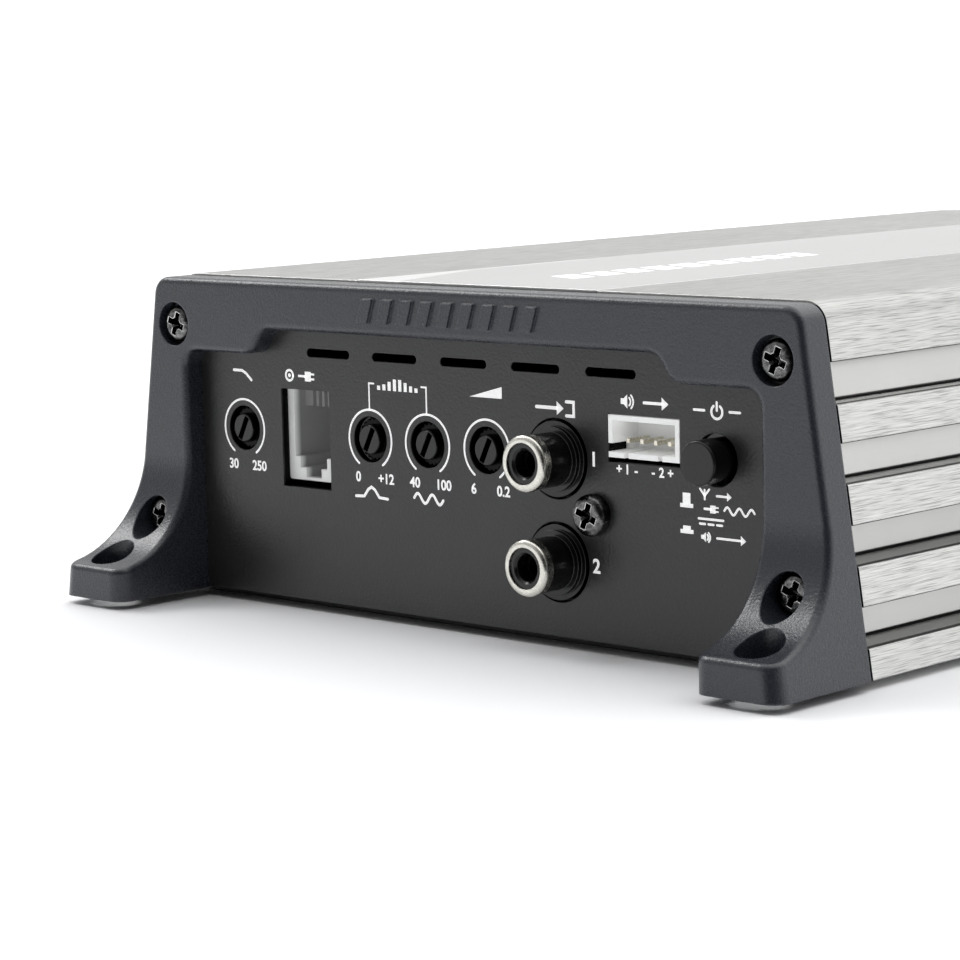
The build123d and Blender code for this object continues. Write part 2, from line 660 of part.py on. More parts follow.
def wall_pair(shape):
    right = against_wall(shape)
    return [right, mirror(right, Plane.YZ)]


def transistors():
    solids = []
    for y in TRANSISTOR_YS:
        tab = block(-TAB_T, 0, y - 5, y + 5, 0, 16)
        case = block(-4.5, -TAB_T, y - 5, y + 5, 0, 9)
        solids += wall_pair(tab + case)
    return group(solids)


def insulating_strips():
    """Thin silicone strips between the transistors and the wall."""
    strip = block(0.0, 0.3, TRANSISTOR_YS[0] - 7, TRANSISTOR_YS[-1] + 7, -1, 17)
    return group(wall_pair(strip))


def clamp_bars():
    bar = block(-7.0, -4.5, TRANSISTOR_YS[0] - 7, TRANSISTOR_YS[-1] + 7, 2, 8)
    return group(wall_pair(bar))


# ---------------------------------------------------------------- rear end

def rear_panel():
    z0, z1 = TERMINAL_Z
    cuts = []
    for x0, x1 in (span(POWER_CELLS, POWER_MARGIN), span(SPEAKER_CELLS, SPEAKER_MARGIN), span(FUSE_X, 2.2)):
        cuts.append(block(x0, x1, -PANEL_Y - 1, -PANEL_Y + PANEL_T + 1, z0 - 0.1, z1 + 0.1))
    cuts.append(through(*LED, 1.6))
    cuts = [mirror(c, Plane.YZ) for c in cuts]
    return to_rear(panel(cuts))


def span(cells, margin):
    return cells[0] - margin, cells[-1] + margin


def terminal_block(cells, margin):
    """Barrier strip: one cell for each wire, walls between them."""
    x0, x1 = span(cells, margin)
    z0, z1 = TERMINAL_Z
    body = block(x0 + 0.1, x1 - 0.1, CONTROL_BOARD_Y, PANEL_Y + 2.6, z0, z1)
    half = margin - 1.3
    for x in cells:
        body -= block(x - half, x + half, PANEL_Y - 4.0, PANEL_Y + 3, z0 + 2.0, z1 + 1)
        body -= rod(x, TERMINAL_SCREW_Z, SCREW_HOLE_R + 0.5, CONTROL_BOARD_Y + 2, PANEL_Y)
    return body


def terminal_plates(cells, margin):
    half = margin - 1.5
    z0, z1 = TERMINAL_Z
    plates = []
    for x in cells:
        plate = block(x - half, x + half, PANEL_Y - 4.0, PANEL_Y - 2.8, z0 + 2.2, z1 - 2.0)
        plates.append(plate - rod(x, TERMINAL_SCREW_Z, SCREW_HOLE_R + 0.5, PANEL_Y - 6, PANEL_Y))
    return group(plates)


def terminal_screws(cells, head_r):
    """Clamp screws with a cross recess, heads facing the rear."""
    return group([to_rear(screw(-x, TERMINAL_SCREW_Z, PANEL_Y - 2.8, 8.0, head_r)) for x in cells])


def fuse_holder():
    z0, z1 = TERMINAL_Z
    x0, x1 = span(FUSE_X, 2.0)
    body = block(x0, x1, CONTROL_BOARD_Y, PANEL_Y + 0.6, z0, z1)
    for x in fuse_xs():
        body -= block(x - 2.7, x + 2.7, PANEL_Y - 9.0, PANEL_Y + 1, z0 + 2.2, z1 - 2.2)
    return body


def fuse_xs():
    return FUSE_X[0] + 2.4, FUSE_X[1] - 2.4


def blade_fuses():
    """Two blade fuses: moulded head and two blades each."""
    z0, z1 = TERMINAL_Z
    mid = (z0 + z1) / 2
    fuses = []
    for x in fuse_xs():
        fuse = block(x - 2.5, x + 2.5, PANEL_Y - 2.0, PANEL_Y + 2.2, mid - 9.5, mid + 9.5)
        fuse = fillet(fuse.edges().filter_by(Axis.Y), 0.8)
        for dz in (-6.0, 6.0):
            fuse += block(x - 0.4, x + 0.4, PANEL_Y - 8.5, PANEL_Y - 1.9, mid + dz - 2.6, mid + dz + 2.6)
        fuses.append(fuse)
    return group(fuses)


def status_led():
    lens = rod(*LED, 1.5, PANEL_Y - 6.0, PANEL_Y + 0.9)
    return fillet(lens.edges().sort_by(Axis.Y)[-1], 0.7)


def main():
    os.makedirs("parts", exist_ok=True)
    save("heatsink_extrusion", heatsink_extrusion())
    save("top_badge_strip", top_badge_strip())
    save("bottom_cover", bottom_cover())
    save("bottom_cover_screws", bottom_cover_screws())
    front = bezel()
    save("front_bezel", front)
    save("rear_bezel", to_rear(front))
    save("front_bezel_screws", bezel_screws())
    save("rear_bezel_screws", to_rear(bezel_screws()))
    save("front_panel", front_panel())
    save("rear_panel", rear_panel())
    save("rca_housing", rca_housing())
    save("rca_shells", rca_shells())
    save("rca_insulators", rca_insulators())
    save("rca_contacts", rca_contacts())
    save("rca_screw", rca_screw())
    save("remote_jack_housing", remote_jack_housing())
    save("remote_jack_contacts", remote_jack_contacts())
    save("hi_input_header", hi_input_header())
    save("hi_input_pins", hi_input_pins())
    save("switch_body", switch_body())
    save("turn_on_button", turn_on_button())
    for name, x in POTS.items():
        save(name + "_pot_body", pot_body(x))
        save(name + "_pot_rotor", pot_rotor(x))
    save("control_board", control_board())
    save("board_link", board_link())
    save("main_board", main_board())
    save("insulating_sheet", insulating_sheet())
    save("board_screws", board_screws())
    save("transformer_core", ring_core(TRANSFORMER, TRANSFORMER_R, TRANSFORMER_Z))
    save("transformer_winding", winding(TRANSFORMER, TRANSFORMER_R, TRANSFORMER_Z, TRANSFORMER_TURNS))
    save("choke_core", ring_core(CHOKE, CHOKE_R, CHOKE_Z))
    save("choke_winding", winding(CHOKE, CHOKE_R, CHOKE_Z, CHOKE_TURNS))
    save("capacitors", capacitors())
    save("transistors", transistors())
    save("insulating_strips", insulating_strips())
    save("clamp_bars", clamp_bars())
    save("power_terminal_block", terminal_block(POWER_CELLS, POWER_MARGIN))
    save("power_terminal_plates", terminal_plates(POWER_CELLS, POWER_MARGIN))
    save("power_terminal_screws", terminal_screws(POWER_CELLS, POWER_SCREW_R))
    save("speaker_terminal_block", terminal_block(SPEAKER_CELLS, SPEAKER_MARGIN))
    save("speaker_terminal_plates", terminal_plates(SPEAKER_CELLS, SPEAKER_MARGIN))
    save("speaker_terminal_screws", terminal_screws(SPEAKER_CELLS, SPEAKER_SCREW_R))
    save("fuse_holder", fuse_holder())
    save("blade_fuses", blade_fuses())
    save("status_led", status_led())


main()
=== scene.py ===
"""Looks of the car amplifier: materials, printed signs, floor, studio light and camera."""
import json
import math
from collections import namedtuple

import bmesh
import bpy
from mathutils import Matrix, Vector


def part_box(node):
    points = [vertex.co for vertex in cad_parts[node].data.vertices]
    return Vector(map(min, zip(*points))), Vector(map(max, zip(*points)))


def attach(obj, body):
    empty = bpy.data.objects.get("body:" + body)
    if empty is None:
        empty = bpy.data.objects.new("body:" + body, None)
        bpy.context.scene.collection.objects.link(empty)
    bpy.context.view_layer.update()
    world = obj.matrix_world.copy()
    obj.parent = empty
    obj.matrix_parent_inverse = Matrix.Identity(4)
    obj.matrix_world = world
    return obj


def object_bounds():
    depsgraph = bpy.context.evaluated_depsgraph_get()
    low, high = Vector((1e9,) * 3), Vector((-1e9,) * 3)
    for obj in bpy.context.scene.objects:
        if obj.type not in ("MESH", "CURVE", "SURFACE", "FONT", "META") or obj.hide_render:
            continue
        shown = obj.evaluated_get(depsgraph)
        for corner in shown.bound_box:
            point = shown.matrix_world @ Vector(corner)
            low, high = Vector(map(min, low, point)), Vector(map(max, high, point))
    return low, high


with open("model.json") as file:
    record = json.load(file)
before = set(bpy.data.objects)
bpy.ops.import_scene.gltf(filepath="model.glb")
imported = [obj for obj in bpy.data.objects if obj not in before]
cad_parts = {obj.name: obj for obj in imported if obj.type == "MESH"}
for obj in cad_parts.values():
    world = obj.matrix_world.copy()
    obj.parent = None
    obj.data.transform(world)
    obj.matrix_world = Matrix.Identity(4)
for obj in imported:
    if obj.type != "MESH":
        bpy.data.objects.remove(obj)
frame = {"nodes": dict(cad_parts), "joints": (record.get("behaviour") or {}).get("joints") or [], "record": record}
cad_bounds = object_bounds()
nodes = frame["nodes"]

MM = 0.001


def corners_mm(node):
    """Lowest and highest corners of a node, in millimetres."""
    low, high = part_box(node)
    return Vector(low) / MM, Vector(high) / MM


# The casing. Heights on it and on the panels are counted from its foot, which rests on the cover plate.
CASE_LOW, CASE_HIGH = corners_mm("heatsink_extrusion")
COVER_T = CASE_LOW.z
CASE_HALF = CASE_HIGH.x
CASE_END = CASE_HIGH.y
CASE_TOP = CASE_HIGH.z
CASE_LEAN = 0.1525       # how far the sides lean in, per millimetre of height
FIN_FACE = 0.9           # everything nearer to the side than this is a fin's outer face
GROOVE_FEET = ((36.3, 3.6), (25.8, 4.5), (15.0, 6.0), (4.2, 6.0))  # height and depth of each groove's foot
UNDERCUT = 0.4           # height of the fine undercut at each groove's foot

# Camera, towards the front right corner of the amplifier: degrees, millimetres of lens, metres.
VIEW_AZIMUTH = 43.53
VIEW_ELEVATION = 7.648
VIEW_ROLL = -1.304
VIEW_LENS = 115.37
VIEW_POINT = Vector((308.43, -426.54, 82.63)) * MM

# Signs: white ink, strokes and rings in millimetres, angles in degrees.
INK_THICKNESS = 0.03
STROKE = 0.36
BOLD = 0.42
FINE = 0.32
DIGIT_SHARE = 0.70       # height of the font's digits, as a share of its size
DIGIT_WEIGHT = 0.034     # how much their strokes are thickened, as a share of their height
RING_RADIUS = 4.5
RING_START, RING_END = -56, 236
SIGN_HEIGHT = 8.5        # of the signs over the trimmers, from their centres
TRAVEL_NUMBERS = {"lowpass_turn": ("30", "250"), "boost_turn": ("0", "+12"),
                  "frequency_turn": ("40", "100"), "level_turn": ("6", "0.2")}

FLOOR_RADIUS = 2.2       # metres
FLOOR_GAP = 0.1 * MM

# Painted shade inside a moulding's opening: first depth along Y and length of the fade in millimetres,
# share of the outer colour that is left, and sheen outside.
HollowShade = namedtuple("HollowShade", "start fade share sheen")


# ------------------------------------------------------------------ node materials

class Nodes:
    """Shader nodes of one tree."""

    def __init__(self, tree):
        self.tree = tree

    def add(self, kind, **properties):
        node = self.tree.nodes.new(kind)
        for key, value in properties.items():
            setattr(node, key, value)
        return node

    def feed(self, socket, value):
        """Links an output, or sets a plain value."""
        if isinstance(value, bpy.types.NodeSocket):
            self.tree.links.new(value, socket)
        elif value is not None:
            socket.default_value = value

    def vector(self, operation, a, b=None, scale=None):
        node = self.add("ShaderNodeVectorMath", operation=operation)
        self.feed(node.inputs[0], a)
        self.feed(node.inputs[1], b)
        if scale is not None:
            node.inputs["Scale"].default_value = scale
        return node.outputs["Value"] if operation == "DOT_PRODUCT" else node.outputs["Vector"]

    def math(self, operation, a, b=None, clamp=False):
        node = self.add("ShaderNodeMath", operation=operation, use_clamp=clamp)
        self.feed(node.inputs[0], a)
        self.feed(node.inputs[1], b)
        return node.outputs[0]

    def product(self, first, *others):
        for other in others:
            first = self.math("MULTIPLY", first, other)
        return first

    def separate(self, vector):
        """X, Y and Z of a vector."""
        node = self.add("ShaderNodeSeparateXYZ")
        self.feed(node.inputs[0], vector)
        return tuple(node.outputs)

    def spread(self, value, low, high, out_low=0.0, out_high=1.0):
        """Maps low..high to out_low..out_high, held at the ends."""
        node = self.add("ShaderNodeMapRange")
        self.feed(node.inputs["Value"], value)
        limits = {"From Min": low, "From Max": high, "To Min": out_low, "To Max": out_high}
        for key, number in limits.items():
            node.inputs[key].default_value = number
        return node.outputs[0]

    def mix(self, factor, a, b):
        """Colour mix."""
        node = self.add("ShaderNodeMix", data_type="RGBA")
        self.feed(node.inputs[0], factor)
        self.feed(node.inputs[6], a)
        self.feed(node.inputs[7], b)
        return node.outputs[2]

    def blend(self, factor, a, b):
        """Number mix."""
        node = self.add("ShaderNodeMix", data_type="FLOAT")
        self.feed(node.inputs[0], factor)
        self.feed(node.inputs[2], a)
        self.feed(node.inputs[3], b)
        return node.outputs[0]

    def mix_shader(self, factor, a, b):
        node = self.add("ShaderNodeMixShader")
        self.feed(node.inputs[0], factor)
        self.feed(node.inputs[1], a)
        self.feed(node.inputs[2], b)
        return node.outputs[0]


class Paint(Nodes):
    """One material around a Principled shader, with places in millimetres of the shared frame."""

    def __init__(self, name, **settings):
        self.material = bpy.data.materials.new(name)
        self.material.use_nodes = True
        super().__init__(self.material.node_tree)
        self.bsdf = self.tree.nodes["Principled BSDF"]
        for key, value in settings.items():
            self.bsdf.inputs[key.replace("_", " ")].default_value = value
        coords = self.add("ShaderNodeTexCoord")
        self.mm = self.vector("SCALE", coords.outputs["Object"], scale=1.0 / MM)
        self.x, self.y, self.z = self.separate(self.mm)

    def noise(self, per_mm, detail=3.0, rough=0.5, shift=0.0):
        """Noise whose scale along X, Y and Z is given per millimetre."""
        per_mm = (per_mm,) * 3 if isinstance(per_mm, (int, float)) else per_mm
        stretched = self.vector("MULTIPLY", self.mm, per_mm)
        moved = self.vector("ADD", stretched, (shift, shift * 0.7, -shift))
        node = self.add("ShaderNodeTexNoise")
        self.feed(node.inputs["Vector"], moved)
        node.inputs["Scale"].default_value = 1.0
        node.inputs["Detail"].default_value = detail
        node.inputs["Roughness"].default_value = rough
        return node.outputs[0]

    def rounded(self, radius_mm, samples=4):
        """Shading normal that rounds every edge by a small radius."""
        node = self.add("ShaderNodeBevel", samples=samples)
        node.inputs["Radius"].default_value = radius_mm * MM
        return node.outputs[0]

    def edges(self, rounded_normal, gain=3.0):
        """1 on edges and corners, 0 on flat faces."""
        geometry = self.add("ShaderNodeNewGeometry")
        flat = self.vector("DOT_PRODUCT", rounded_normal, geometry.outputs["Normal"])
        return self.math("MULTIPLY", self.math("SUBTRACT", 1.0, flat), gain, clamp=True)

    def behind(self, y, fade):
        """0 in front of the plane y, 1 behind it, as far as the middle of the amplifier."""
        front_half = self.spread(self.y, 0.0, 0.1, 1.0, 0.0)
        return self.product(self.spread(self.y, y, y + fade), front_half)

    def bump(self, height, depth_mm, normal=None, strength=1.0):
        node = self.add("ShaderNodeBump")
        node.inputs["Strength"].default_value = strength
        node.inputs["Distance"].default_value = depth_mm * MM
        self.feed(node.inputs["Height"], height)
        self.feed(node.inputs["Normal"], normal)
        return node.outputs[0]

    def finish(self, color, roughness, normal):
        for key, value in (("Base Color", color), ("Roughness", roughness), ("Normal", normal)):
            self.feed(self.bsdf.inputs[key], value)
        return self.material


def rgb(red, green, blue):
    return (red, green, blue, 1.0)


def grey(value):
    return rgb(value, value, value)


def scaled(color, factor):
    """The colour times a factor, no channel above 1."""
    return rgb(*(min(1.0, channel * factor) for channel in color[:3]))


def casing_place(p):
    """Height above the casing's foot, and depth in from its leaning side."""
    height = p.math("SUBTRACT", p.z, COVER_T)
    reach = p.math("ADD", p.math("ABSOLUTE", p.x), p.product(height, CASE_LEAN))
    return height, p.math("SUBTRACT", CASE_HALF, reach)


def brushed_tone(p, grain, dashes, cloud, up, roof):
    """Streaks of several lengths, broad bands on the roof, and painted shade where a face turns up."""
    long_marks = p.noise((5.0, 0.03, 5.0), 1.0, 0.5, shift=77.0)
    bands = p.noise((1.6, 0.06, 1.6), 3.0, 0.6, shift=50.0)
    return p.product(p.spread(grain, 0.3, 0.7, 0.58, 0.75),
                     p.spread(dashes, 0.28, 0.42, 0.62, 1.0),
                     p.spread(dashes, 0.56, 0.7, 1.0, 1.08),
                     p.spread(long_marks, 0.3, 0.7, 0.94, 1.05),
                     p.spread(cloud, 0.3, 0.7, 0.97, 1.03),
                     # painted shade on faces that turn up: the roof and its rounded corners
                     p.spread(up, 0.15, 0.6, 1.0, 0.71),
                     p.blend(roof, 1.0, p.spread(bands, 0.3, 0.7, 0.92, 1.08)))


def plain_tone(p, grain, cloud, depth):
    """Bare extruded metal, with painted shade deep in the grooves."""
    return p.product(p.spread(cloud, 0.3, 0.7, 0.64, 0.70),
                     p.spread(grain, 0.2, 0.8, 0.985, 1.015),
                     p.spread(depth, 4.0, 5.8, 1.0, 0.9))


def groove_floor_light(p, value, depth, up):
    """Painted light on the floor of each groove, behind a painted dark line along its lip."""
    floor = p.product(p.spread(up, 0.7, 0.9), p.spread(p.z, CASE_TOP - 2.0, CASE_TOP - 3.0))
    return p.blend(floor, value, p.spread(depth, 1.5, 1.1, 1.0, 0.12))


def casing_edge_light(p, value, rounded, facing):
    """Painted highlights on upper edges and end edges, painted shade on edges that face down, and black painted
    shade on faces under the fins.
    """
    _, across, up = facing
    ends = p.product(p.spread(p.math("ABSOLUTE", across), 0.1, 0.3),
                     p.spread(p.z, CASE_TOP - 0.6, CASE_TOP - 1.0))
    # painted highlight where an edge turns up or ends the casing, painted shade where it turns down
    lit = p.math("MAXIMUM", p.spread(up, 0.05, 0.4, 0.05, 0.98), ends)
    value = p.blend(p.edges(rounded, 9.0), value, lit)
    # black painted shade on the faces that turn down, under the fins
    true_up = p.separate(p.add("ShaderNodeNewGeometry").outputs["True Normal"])[2]
    under = p.product(p.spread(true_up, -0.2, -0.4), p.spread(p.z, COVER_T + 0.8, COVER_T + 1.8))
    return p.blend(under, value, 0.03)


def casing_end_shade(p, value):
    """Painted shade: the cut ends, below the roof, are black as if in the shade of the frames."""
    ends = p.spread(p.math("ABSOLUTE", p.y), CASE_END - 0.03, CASE_END - 0.01)
    below_roof = p.spread(p.z, CASE_TOP - 0.5, CASE_TOP - 0.7)
    return p.blend(p.product(ends, below_roof), value, 0.01)


def undercut_shade(p, height, depth):
    """Factor of painted shade: dark inside the fine undercut slots at each groove's foot, 1 elsewhere."""
    shade = 0.0
    for low, reach in GROOVE_FEET:
        inside = p.product(p.spread(height, low + UNDERCUT, low + UNDERCUT - 0.05),
                           p.spread(height, low - 0.1, low - 0.05),
                           p.spread(depth, reach - 0.1, reach))
        shade = p.math("MAXIMUM", shade, inside)
    return p.spread(shade, 0.0, 1.0, 1.0, 0.22)


def brushed_aluminium():
    """Extruded casing: brushed along its length on the outer faces, plain in the grooves."""
    p = Paint("brushed_aluminium", Metallic=0.8, Anisotropic=0.5, Specular_Tint=grey(0.80))
    height, depth = casing_place(p)
    rounded = p.rounded(0.2)
    facing = p.separate(rounded)
    up = facing[2]
    roof = p.spread(p.z, CASE_TOP - 1.0, CASE_TOP - 0.6)
    brushed = p.math("MAXIMUM", p.spread(depth, FIN_FACE + 0.7, FIN_FACE), roof)
    grain = p.noise((10.0, 0.25, 10.0), 2.0, 0.5)
    dashes = p.noise((9.0, 0.22, 9.0), 0.0, 0.5, shift=31.0)
    cloud = p.noise(0.03, 2.0, 0.5, shift=5.0)
    value = p.blend(brushed, plain_tone(p, grain, cloud, depth),
                    brushed_tone(p, grain, dashes, cloud, up, roof))
    # painted light and shade on the casing: lit groove floors, lit and shaded edges, black cut ends, shaded
    # undercut slots
    value = groove_floor_light(p, value, depth, up)
    value = casing_edge_light(p, value, rounded, facing)
    value = casing_end_shade(p, value)
    value = p.product(value, undercut_shade(p, height, depth))
    color = p.add("ShaderNodeCombineColor")
    for socket, share in zip(color.inputs, (1.0, 1.0, 0.975)):
        p.feed(socket, p.product(value, share))
    roughness = p.blend(brushed, 0.36, p.spread(grain, 0.3, 0.7, 0.46, 0.34))
    relief = p.product(p.math("ADD", grain, dashes), brushed)
    along = p.add("ShaderNodeCombineXYZ")
    along.inputs["Y"].default_value = 1.0
    p.feed(p.bsdf.inputs["Tangent"], along.outputs[0])
    return p.finish(color.outputs[0], roughness, p.bump(relief, 0.008, rounded, 0.25))


def painted_glare_wedge(p):
    """1 in a painted glare, the pale wedge along the front of the strip's left edge, 0 elsewhere."""
    low, _ = corners_mm("top_badge_strip")
    width = p.spread(p.y, low.y, low.y + 24.4, 9.08, 1.45)
    from_edge = p.math("SUBTRACT", p.x, low.x)
    inside = p.spread(p.math("SUBTRACT", from_edge, width), 0.0, -0.8)
    return p.product(inside, p.spread(p.y, low.y + 52.4, low.y + 49.4))


def polished_strip():
    """Smooth lacquered strip along the top, with a very fine brush under the lacquer, painted highlights on its
    edges and a painted glare at the front of its left edge.
    """
    p = Paint("polished_strip", Metallic=0.6, Specular_Tint=grey(0.86))
    fine = p.noise((9.0, 0.12, 9.0), 4.0, 0.6, shift=12.0)
    cloud = p.noise(0.03, 2.0)
    rounded = p.rounded(0.2)
    value = p.product(p.spread(fine, 0.3, 0.7, 0.64, 0.71), p.spread(cloud, 0.3, 0.7, 0.97, 1.03))
    # painted highlight along the strip's edges
    value = p.blend(p.edges(rounded, 4.0), value, 1.0)
    # painted glare: the wedge is turned white
    value = p.blend(painted_glare_wedge(p), value, 1.0)
    roughness = p.spread(fine, 0.3, 0.7, 0.24, 0.17)
    color = p.mix(value, grey(0.0), rgb(1.0, 0.998, 0.985))
    return p.finish(color, roughness, p.bump(fine, 0.01, rounded, 0.3))


def textured_paint(name, low, high, grain_per_mm, depth_mm, rough, edge, radius_mm,
                   sheen=0.5, back_y=None):
    """Sprayed paint: fine orange-peel grain, faint clouds, a painted highlight on the edges, and black painted
    shade behind back_y.
    """
    p = Paint(name)
    p.bsdf.inputs["Specular IOR Level"].default_value = sheen
    grain = p.noise(grain_per_mm, 2.0, 0.55)
    speck = p.noise(grain_per_mm * 2.3, 1.0, 0.5, shift=19.0)
    cloud = p.noise(0.05, 3.0, 0.5, shift=3.0)
    tone = p.math("ADD", p.product(cloud, 0.55), p.product(grain, 0.45))
    rounded = p.rounded(radius_mm)
    color = p.mix(p.spread(tone, 0.32, 0.68), low, high)
    # painted highlight on the edges, broken up by specks
    edge_highlight = p.product(p.edges(rounded, 2.5), p.spread(speck, 0.35, 0.6, 0.4, 1.0))
    color = p.mix(edge_highlight, color, scaled(high, edge))
    if back_y is not None:
        # painted shade: black and without sheen behind back_y
        deep = p.behind(back_y, 0.25)
        color = p.mix(deep, color, grey(0.001))
        p.feed(p.bsdf.inputs["Specular IOR Level"], p.blend(deep, sheen, 0.05))
    roughness = p.spread(speck, 0.3, 0.7, rough - 0.05, rough + 0.07)
    relief = p.math("ADD", grain, p.product(speck, 0.4))
    return p.finish(color, roughness, p.bump(relief, depth_mm, rounded))


def moulded_plastic(name, low, high, rough, grain_per_mm=4.0, depth_mm=0.008,
                    glow=0.0, hollow_shade=None, edge=None):
    """Moulded plastic: faint flow clouds and a light mould grain, with a painted glow, a painted highlight on
    edges and painted shade inside an opening where asked.
    """
    # painted glow: the plastic gives off light though it is no lamp
    p = Paint(name, Emission_Color=grey(1.0), Emission_Strength=glow)
    cloud = p.noise(0.25, 3.0, 0.55, shift=8.0)
    grain = p.noise(grain_per_mm, 2.0, 0.5)
    rounded = p.rounded(0.2)
    color = p.mix(p.spread(cloud, 0.3, 0.7), low, high)
    # painted highlight on the edges
    if edge is not None:
        color = p.mix(p.edges(rounded, 6.0), color, edge)
    # painted shade inside the opening, with less sheen and a dimmer painted glow there
    if hollow_shade is not None:
        inside = p.behind(hollow_shade.start, hollow_shade.fade)
        color = p.mix(inside, color, scaled(low, hollow_shade.share))
        p.feed(p.bsdf.inputs["Specular IOR Level"], p.blend(inside, hollow_shade.sheen, 0.1))
        p.feed(p.bsdf.inputs["Emission Strength"], p.blend(inside, glow, glow * 0.3))
    roughness = p.spread(grain, 0.3, 0.7, rough - 0.05, rough + 0.06)
    return p.finish(color, roughness, p.bump(grain, depth_mm, rounded))


def plated_metal(name, low, high, rough):
    """Plated or polished metal with faint turning marks and tarnish clouds."""
    p = Paint(name, Metallic=1.0)
    cloud = p.noise(0.6, 3.0, 0.6, shift=2.0)
    marks = p.noise((1.5, 9.0, 1.5), 3.0, 0.6, shift=6.0)
    color = p.mix(p.spread(cloud, 0.3, 0.7), low, high)
    roughness = p.spread(marks, 0.3, 0.7, rough - 0.04, rough + 0.08)
    return p.finish(color, roughness, p.bump(marks, 0.006, p.rounded(0.15), 0.6))


def black_screw():
    """Black oxide, oiled: dark metal with painted glints on its edges, and black painted shade deep in the cross
    recess.
    """
    p = Paint("black_screw", Metallic=1.0)
    rounded = p.rounded(0.2, 8)
    blotch = p.noise(1.6, 4.0, 0.65)
    dark = p.spread(blotch, 0.35, 0.65, 0.04, 0.22)
    # painted glints on the edges, broken up by blotches
    screw_edge_glint = p.product(p.edges(rounded, 20.0), p.spread(blotch, 0.3, 0.5, 0.5, 1.0))
    # painted shade from ambient occlusion, black deep in the cross recess
    recess = p.add("ShaderNodeAmbientOcclusion", samples=6)
    recess.inputs["Distance"].default_value = 1.2 * MM
    value = p.product(p.blend(screw_edge_glint, dark, 1.0), p.spread(recess.outputs["AO"], 0.45, 0.85, 0.03, 1.0))
    roughness = p.spread(blotch, 0.3, 0.7, 0.12, 0.30)
    return p.finish(p.mix(value, grey(0.0), grey(1.0)), roughness, p.bump(blotch, 0.07, rounded, 0.8))


def screen_ink():
    """White printing, very slightly uneven, with a faint painted glow."""
    p = Paint("screen_ink", Emission_Color=grey(1.0), Emission_Strength=0.3)
    wear = p.noise(2.2, 3.0, 0.6)
    color = p.mix(p.spread(wear, 0.35, 0.6), grey(0.88), grey(0.97))
    return p.finish(color, p.spread(wear, 0.3, 0.7, 0.5, 0.62), p.bump(wear, 0.004))


def circuit_board():
    """Green solder mask with faint tracks under it."""
    p = Paint("circuit_board", Coat_Weight=0.3)
    tracks = p.spread(p.noise((0.9, 0.35, 0.9), 1.0, 0.3), 0.49, 0.51)
    color = p.mix(tracks, rgb(0.004, 0.03, 0.013), rgb(0.008, 0.05, 0.022))
    return p.finish(color, 0.35, p.bump(tracks, 0.03))


def enamelled_wire():
    """Copper under clear enamel."""
    p = Paint("enamelled_wire", Metallic=1.0, Coat_Weight=0.5)
    tone = p.noise(1.5, 3.0)
    color = p.mix(p.spread(tone, 0.3, 0.7), rgb(0.55, 0.20, 0.07), rgb(0.75, 0.34, 0.13))
    return p.finish(color, 0.25, p.bump(tone, 0.01, p.rounded(0.4)))


def lens(name, low, high):
    """Tinted clear plastic."""
    p = Paint(name, Transmission_Weight=0.35, Coat_Weight=0.5)
    cloud = p.noise(0.9, 2.0)
    return p.finish(p.mix(cloud, low, high), 0.22, p.bump(cloud, 0.01, p.rounded(0.25)))


def paints():
    """Casing, frames, panels and sheet metal."""
    face = corners_mm("front_panel")[0].y
    return {
        "brushed_aluminium": brushed_aluminium(),
        "polished_strip": polished_strip(),
        # edge sets each paint's painted edge highlight; back_y starts the panel's black painted shade
        "bezel_grey": textured_paint("bezel_grey", rgb(0.017, 0.020, 0.027), rgb(0.023, 0.026, 0.034),
                                     grain_per_mm=2.4, depth_mm=0.05, rough=0.27,
                                     edge=4.0, radius_mm=0.4, sheen=0.62),
        "panel_black": textured_paint("panel_black", rgb(0.012, 0.012, 0.013), rgb(0.017, 0.017, 0.018),
                                      grain_per_mm=2.2, depth_mm=0.05, rough=0.33,
                                      edge=3.0, radius_mm=0.2, sheen=0.58, back_y=face + 0.12),
        "black_steel": textured_paint("black_steel", grey(0.012), grey(0.018),
                                      grain_per_mm=3.0, depth_mm=0.02, rough=0.45,
                                      edge=1.6, radius_mm=0.2),
    }


def metals():
    """Screws, contacts, terminals and wire."""
    return {
        "black_screw": black_screw(),
        "zinc_steel": plated_metal("zinc_steel", grey(0.45), grey(0.6), 0.35),
        "nickel": plated_metal("nickel", rgb(0.60, 0.585, 0.53), rgb(0.76, 0.745, 0.69), 0.24),
        "contact_gold": plated_metal("contact_gold", rgb(0.66, 0.62, 0.50), rgb(0.84, 0.80, 0.70), 0.25),
        # near-black plating: painted shade for the contacts deep in the round sockets
        "painted_shade_sleeve": plated_metal("painted_shade_sleeve", grey(0.01), grey(0.02), 0.5),
        "copper": enamelled_wire(),
    }


